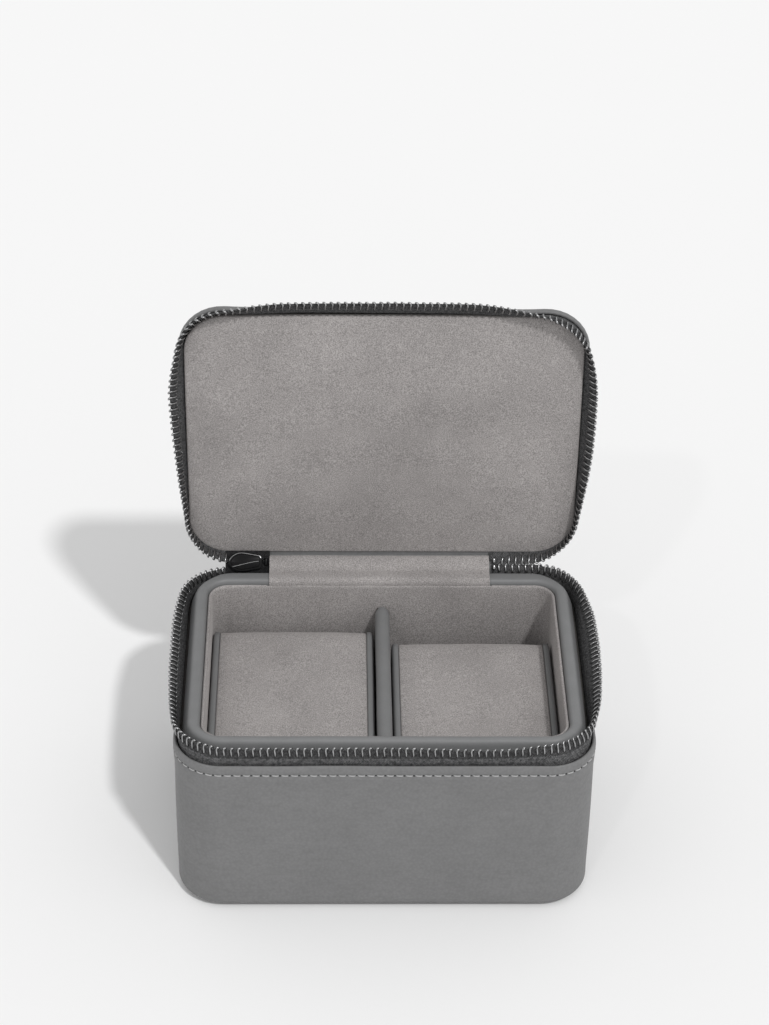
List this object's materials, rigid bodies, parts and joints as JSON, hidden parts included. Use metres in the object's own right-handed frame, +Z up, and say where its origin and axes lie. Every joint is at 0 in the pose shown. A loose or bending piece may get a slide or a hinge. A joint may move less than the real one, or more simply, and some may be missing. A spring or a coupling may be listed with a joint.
{
  "type": "watch travel case",
  "caption": "Zip-round leather travel case for watches: deep box, hinged lid, velvet-lined tray, divider and lift-out watch cushions.",
  "frame": {"origin": "centre of the flat underside", "axes": "+X to the right, +Y towards the hinge, +Z up"},
  "size_m": [0.1534, 0.1278, 0.1887],
  "materials": {
    "pebbled_leather": "satin",
    "smooth_leather": "satin",
    "velvet": "matte",
    "board": "matte",
    "foam": "matte",
    "zip_tape": "matte",
    "zip_metal": "gloss",
    "thread": "satin"
  },
  "bodies": {
    "base": {"bottom_panel": "pebbled_leather", "base_carcass": "board", "base_leather": "pebbled_leather", "base_stitching": "thread", "base_zip_tape": "zip_tape", "base_zip_teeth": "zip_metal", "tray_frame": "board", "tray_rim_leather": "smooth_leather", "tray_lining": "velvet", "floor_foam": "foam", "floor_lining": "velvet", "divider_board": "board", "divider_leather": "smooth_leather", "hinge_leather": "pebbled_leather", "hinge_lining": "velvet", "zip_bottom_stop": "zip_metal", "zip_top_stop_base": "zip_metal"},
    "lid": {"lid_leather": "pebbled_leather", "lid_carcass": "board", "lid_padding": "foam", "lid_panel_board": "board", "lid_panel_foam": "foam", "lid_panel_lining": "velvet", "lid_stitching": "thread", "lid_zip_tape": "zip_tape", "lid_zip_teeth": "zip_metal", "zip_top_stop_lid": "zip_metal"},
    "slider": {"zip_slider": "zip_metal"},
    "link": {"puller_link": "zip_metal"},
    "puller": {"puller_tab": "zip_metal"},
    "left_cushion": {"left_cushion_foam": "foam", "left_cushion_cover": "velvet", "left_cushion_end_outer": "smooth_leather", "left_cushion_end_inner": "smooth_leather"},
    "right_cushion": {"right_cushion_foam": "foam", "right_cushion_cover": "velvet", "right_cushion_end_inner": "smooth_leather", "right_cushion_end_outer": "smooth_leather"}
  },
  "joints": [
    {"name": "lid_hinge", "type": "hinge", "parent": "base", "child": "lid", "pos_m": [0, 0.055, 0.078], "axis": [-1, 0, 0], "range_deg": [-91.2, 0], "deforming": ["hinge_leather", "hinge_lining"]},
    {"name": "slider_travel", "type": "slide", "parent": "base", "child": "slider", "axis": [-1, 0, 0], "range_m": [0, 0.003]},
    {"name": "link_swing", "type": "hinge", "parent": "slider", "child": "link", "pos_m": [-0.05225, 0.05904, 0.07466], "axis": [1, 0, 0], "range_deg": [-1, 45]},
    {"name": "puller_swing", "type": "hinge", "parent": "link", "child": "puller", "pos_m": [-0.05225, 0.05904, 0.06861], "axis": [0, 1, 0], "range_deg": [-60, 60]},
    {"name": "left_cushion_lift", "type": "slide", "parent": "base", "child": "left_cushion", "axis": [0, 0, 1], "range_m": [0, 0.07]},
    {"name": "right_cushion_lift", "type": "slide", "parent": "base", "child": "right_cushion", "axis": [0, 0, 1], "range_m": [0, 0.07]}
  ]
}
